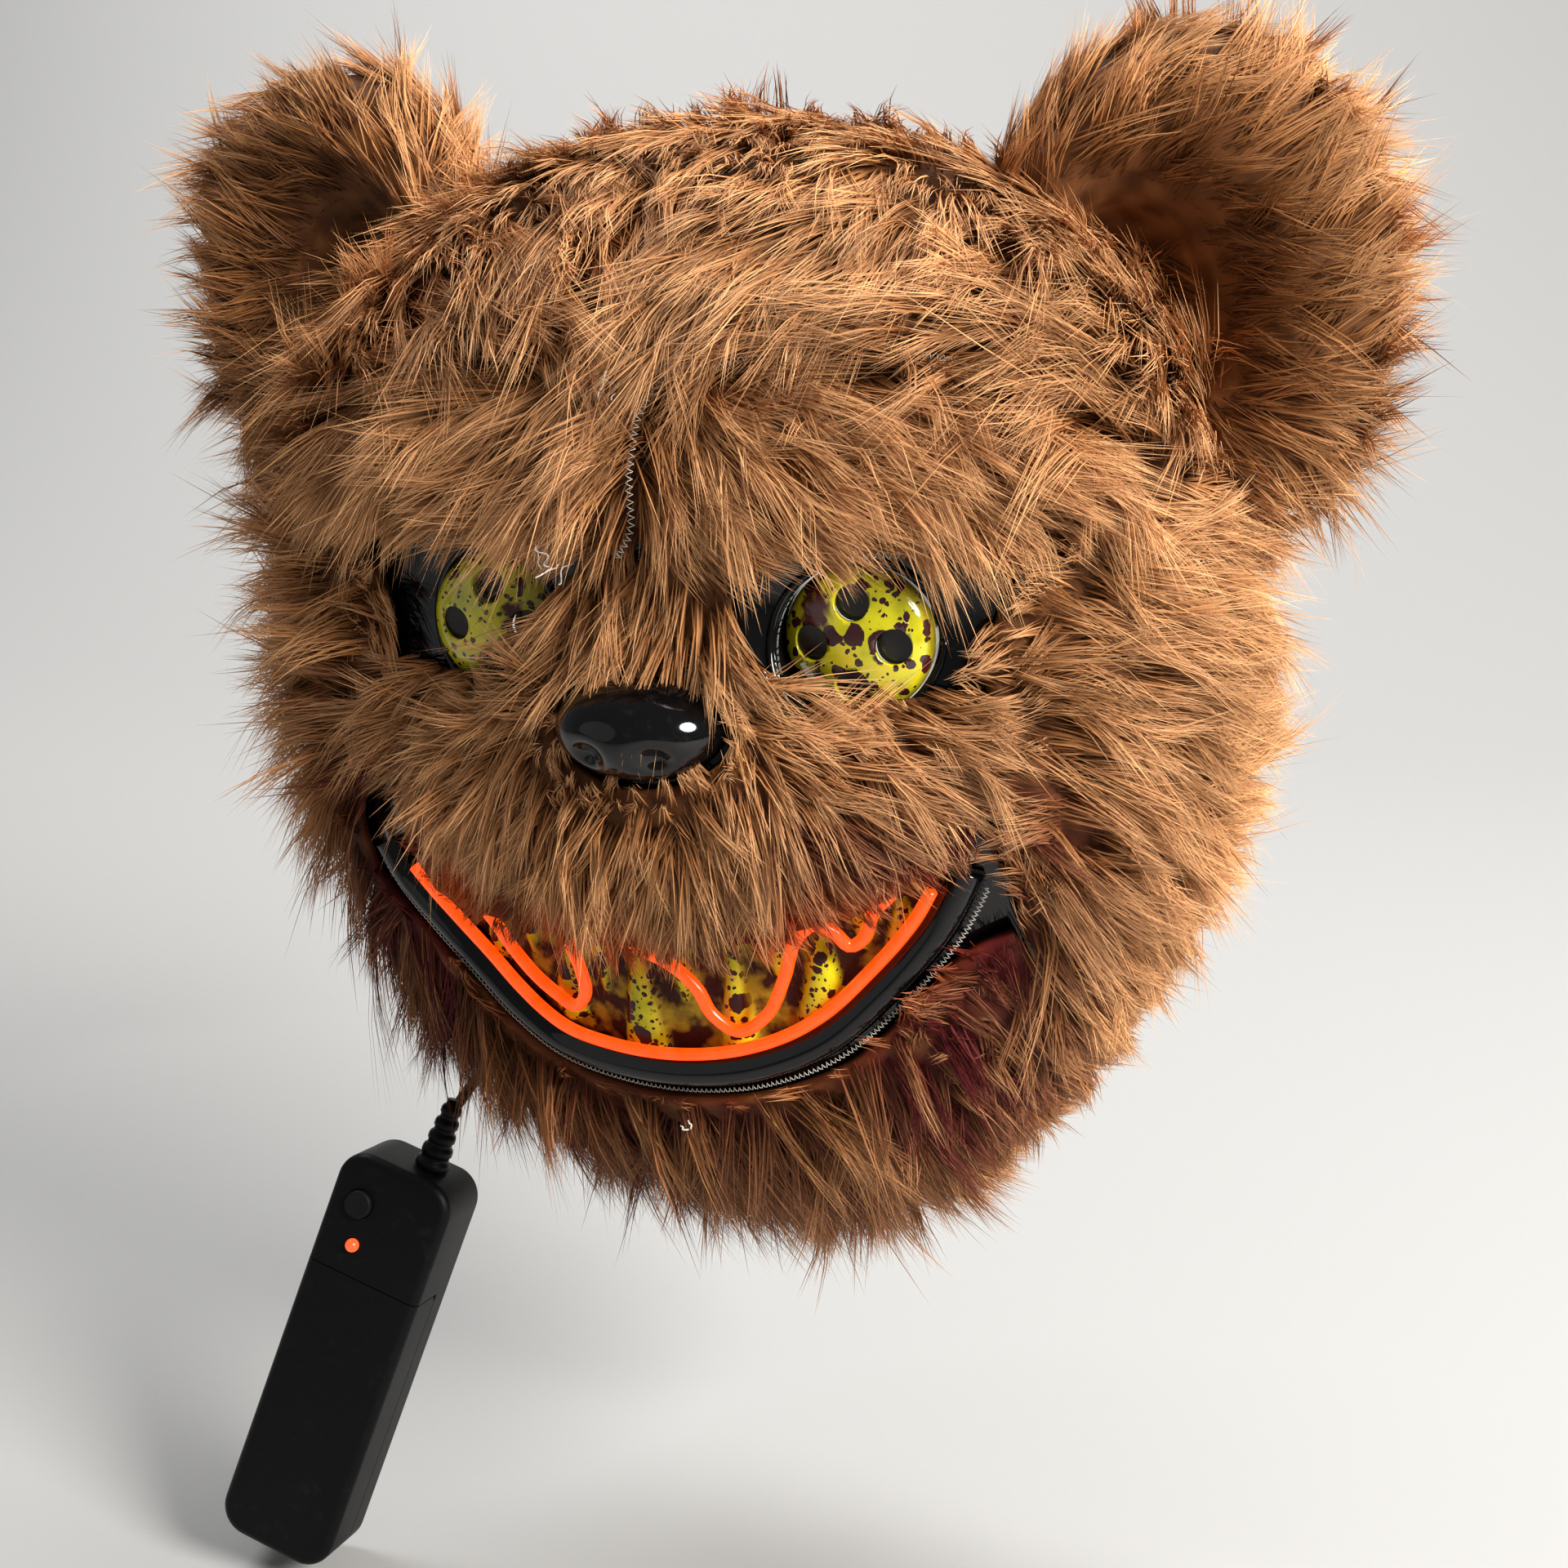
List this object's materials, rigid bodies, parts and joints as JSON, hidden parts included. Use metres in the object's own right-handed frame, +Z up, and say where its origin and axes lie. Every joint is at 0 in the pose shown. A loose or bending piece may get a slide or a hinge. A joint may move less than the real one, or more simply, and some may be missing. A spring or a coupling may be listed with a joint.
{
  "type": "plush bear face mask",
  "caption": "Plush bear face mask: hard shell under long fur, padded ears, domed eyes with peepholes, fanged mouth with a glow wire, head strap and battery pack on a lead.",
  "frame": {"origin": "on the shell's inner face between the eyes, at the height of the eyes, where the mask sits on the bridge of the wearer's nose", "axes": "-Y is the way the mask looks, +Z up, +X to the right as seen from in front"},
  "size_m": [0.2942, 0.2304, 0.3846],
  "materials": {
    "fur": "long brown pile, stained round the mouth",
    "black_gloss": "glossy",
    "eye_yellow": "glossy, dark spatter",
    "fang_yellow": "glossy, dark spatter",
    "glow_wire": "lit, orange",
    "elastic": "woven elastic",
    "black_matt": "fine satin grain",
    "cell_wrap": "plain wrap",
    "black_rubber": "satin",
    "lamp": "lit, orange"
  },
  "bodies": {
    "root": {"mask_shell": "black_gloss", "nose": "black_gloss", "lip_rim": "black_gloss", "lead_gland": "black_gloss", "eye_dome_left": "eye_yellow", "eye_dome_right": "eye_yellow", "teeth_plate": "fang_yellow", "glow_wire_line": "glow_wire", "glow_wire_fangs": "glow_wire", "crown_plush": "fur", "brow_plush_left": "fur", "brow_plush_right": "fur", "cheek_plush_left": "fur", "cheek_plush_right": "fur", "muzzle_plush": "fur", "chin_plush": "fur", "ear_left": "fur", "ear_right": "fur", "head_strap": "elastic", "pack_housing": "black_matt", "battery_cell_left": "cell_wrap", "battery_cell_right": "cell_wrap", "indicator_light": "lamp", "strain_relief": "black_rubber", "lead": "black_rubber"},
    "battery_cover": {"battery_cover": "black_matt"},
    "power_button": {"power_button": "black_matt"}
  },
  "joints": [
    {"name": "cover_slide", "type": "slide", "parent": "root", "child": "battery_cover", "axis": [-0.2888, -0.2957, -0.9106], "range_m": [0, 0.06]},
    {"name": "button_press", "type": "slide", "parent": "root", "child": "power_button", "axis": [-0.0894, 0.9553, -0.2819], "range_m": [0, 0.0012], "stiffness_N_per_m": 500}
  ]
}
